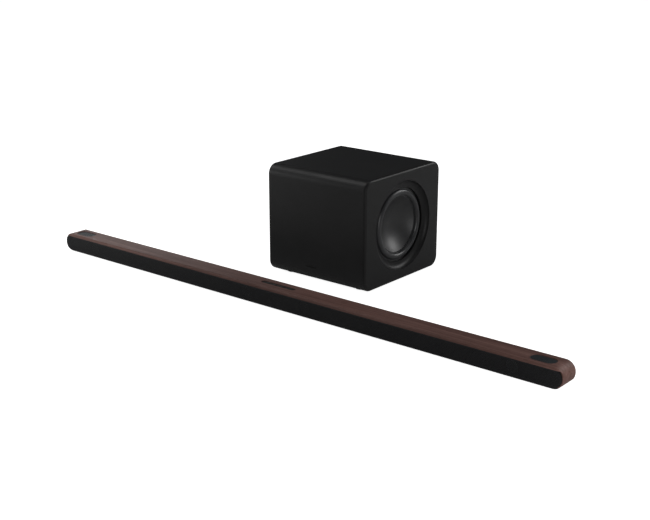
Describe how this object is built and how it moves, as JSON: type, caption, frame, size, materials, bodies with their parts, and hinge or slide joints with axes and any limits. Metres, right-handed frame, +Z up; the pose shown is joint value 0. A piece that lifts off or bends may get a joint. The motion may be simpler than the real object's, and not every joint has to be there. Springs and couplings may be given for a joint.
{
  "type": "soundbar with subwoofer",
  "caption": "Slim low soundbar with a wood-look top and black front grille, with a separate cube subwoofer whose side-firing woofer sits in a flared recess.",
  "frame": {"origin": "on the surface that the bar stands on, under the middle of the bar, at the mount bar_underside", "axes": "+X along the bar to the right seen from the front, +Y to the back, +Z up"},
  "size_m": [1.16, 0.402, 0.217],
  "materials": {
    "wood_foil": "dark walnut foil, satin",
    "black_plastic": "fine moulded grain",
    "black_mesh": "perforated sheet, matt black",
    "grey_mesh": "perforated sheet, dark grey",
    "strip_plastic": "satin dark grey",
    "key_plastic": "satin dark grey",
    "circuit_board": "solder mask",
    "dark_window": "polished dark",
    "dome_silk": "treated cloth",
    "aluminium": "plain",
    "socket_metal": "plated",
    "brass": "turned",
    "rubber": "matt",
    "screw_steel": "blackened",
    "cable_sheath": "smooth",
    "basket_steel": "satin black",
    "magnet": "sintered",
    "sub_vinyl": "fine grain, satin black",
    "badge_metal": "satin grey, blank",
    "surround_rubber": "satin",
    "cone_black": "satin black"
  },
  "bodies": {
    "bar": {"bar_skin": "wood_foil", "bar_floor": "black_plastic", "bar_back": "black_plastic", "bar_end_walls": "black_plastic", "top_deck": "black_plastic", "front_baffle": "black_plastic", "front_grille": "black_mesh", "up_grille_left": "grey_mesh", "up_grille_right": "grey_mesh", "control_strip": "strip_plastic", "bar_boards": "circuit_board", "sensor_window": "dark_window", "tweeter_housings": "black_plastic", "tweeter_domes": "dome_silk", "heat_spreaders": "aluminium", "socket_tray": "black_plastic", "hdmi_socket": "socket_metal", "optical_socket": "black_plastic", "dc_socket": "black_plastic", "bracket_inserts": "brass", "bar_feet": "rubber", "bar_screws": "screw_steel", "speaker_harness": "cable_sheath", "driver_baskets": "basket_steel", "driver_motors": "magnet", "mid_surround_outer_left": "surround_rubber", "mid_surround_centre_left": "surround_rubber", "mid_surround_centre_right": "surround_rubber", "mid_surround_outer_right": "surround_rubber", "up_surround_left": "surround_rubber", "up_surround_right": "surround_rubber"},
    "power_button": {"power_button": "key_plastic"},
    "volume_down_button": {"volume_down_button": "key_plastic"},
    "volume_up_button": {"volume_up_button": "key_plastic"},
    "microphone_button": {"microphone_button": "key_plastic"},
    "mid_cone_outer_left": {"mid_cone_outer_left": "cone_black"},
    "mid_cone_centre_left": {"mid_cone_centre_left": "cone_black"},
    "mid_cone_centre_right": {"mid_cone_centre_right": "cone_black"},
    "mid_cone_outer_right": {"mid_cone_outer_right": "cone_black"},
    "up_cone_left": {"up_cone_left": "cone_black"},
    "up_cone_right": {"up_cone_right": "cone_black"},
    "subwoofer": {"sub_cabinet": "sub_vinyl", "sub_driver_panel": "sub_vinyl", "sub_plain_panel": "sub_vinyl", "sub_badge": "badge_metal", "sub_feet": "rubber", "amp_panel": "black_plastic", "amp_board": "circuit_board", "amp_screws": "screw_steel", "mains_inlet": "black_plastic", "link_light": "dark_window", "woofer_basket": "basket_steel", "woofer_surround": "surround_rubber", "woofer_spider": "dome_silk", "woofer_plates": "basket_steel", "woofer_magnet": "magnet", "woofer_screws": "screw_steel"},
    "woofer_cone": {"woofer_cone": "cone_black", "woofer_coil": "brass"},
    "pair_button": {"pair_button": "key_plastic"}
  },
  "joints": [
    {"name": "power_button_press", "type": "slide", "parent": "bar", "child": "power_button", "axis": [0, 0, -1], "range_m": [0, 0.0005], "stiffness_N_per_m": 400, "springref_m": -0.0005},
    {"name": "volume_down_button_press", "type": "slide", "parent": "bar", "child": "volume_down_button", "axis": [0, 0, -1], "range_m": [0, 0.0005], "stiffness_N_per_m": 400, "springref_m": -0.0005},
    {"name": "volume_up_button_press", "type": "slide", "parent": "bar", "child": "volume_up_button", "axis": [0, 0, -1], "range_m": [0, 0.0005], "stiffness_N_per_m": 400, "springref_m": -0.0005},
    {"name": "microphone_button_press", "type": "slide", "parent": "bar", "child": "microphone_button", "axis": [0, 0, -1], "range_m": [0, 0.0005], "stiffness_N_per_m": 400, "springref_m": -0.0005},
    {"name": "mid_cone_outer_left_stroke", "type": "slide", "parent": "bar", "child": "mid_cone_outer_left", "axis": [0, -1, 0], "range_m": [-0.001, 0.001], "stiffness_N_per_m": 600, "deforming": ["mid_surround_outer_left"]},
    {"name": "mid_cone_centre_left_stroke", "type": "slide", "parent": "bar", "child": "mid_cone_centre_left", "axis": [0, -1, 0], "range_m": [-0.001, 0.001], "stiffness_N_per_m": 600, "deforming": ["mid_surround_centre_left"]},
    {"name": "mid_cone_centre_right_stroke", "type": "slide", "parent": "bar", "child": "mid_cone_centre_right", "axis": [0, -1, 0], "range_m": [-0.001, 0.001], "stiffness_N_per_m": 600, "deforming": ["mid_surround_centre_right"]},
    {"name": "mid_cone_outer_right_stroke", "type": "slide", "parent": "bar", "child": "mid_cone_outer_right", "axis": [0, -1, 0], "range_m": [-0.001, 0.001], "stiffness_N_per_m": 600, "deforming": ["mid_surround_outer_right"]},
    {"name": "up_cone_left_stroke", "type": "slide", "parent": "bar", "child": "up_cone_left", "axis": [0, 0, 1], "range_m": [-0.001, 0.001], "stiffness_N_per_m": 600, "deforming": ["up_surround_left"]},
    {"name": "up_cone_right_stroke", "type": "slide", "parent": "bar", "child": "up_cone_right", "axis": [0, 0, 1], "range_m": [-0.001, 0.001], "stiffness_N_per_m": 600, "deforming": ["up_surround_right"]},
    {"name": "subwoofer_placing", "type": "slide", "parent": "bar", "child": "subwoofer", "axis": [1, 0, 0], "range_m": [-0.25, 0.25]},
    {"name": "woofer_cone_stroke", "type": "slide", "parent": "subwoofer", "child": "woofer_cone", "axis": [1, 0, 0], "range_m": [-0.006, 0.006], "stiffness_N_per_m": 2200, "deforming": ["woofer_surround", "woofer_spider"]},
    {"name": "pair_button_press", "type": "slide", "parent": "subwoofer", "child": "pair_button", "axis": [0, -1, 0], "range_m": [0, 0.0005], "stiffness_N_per_m": 400, "springref_m": -0.0005}
  ]
}
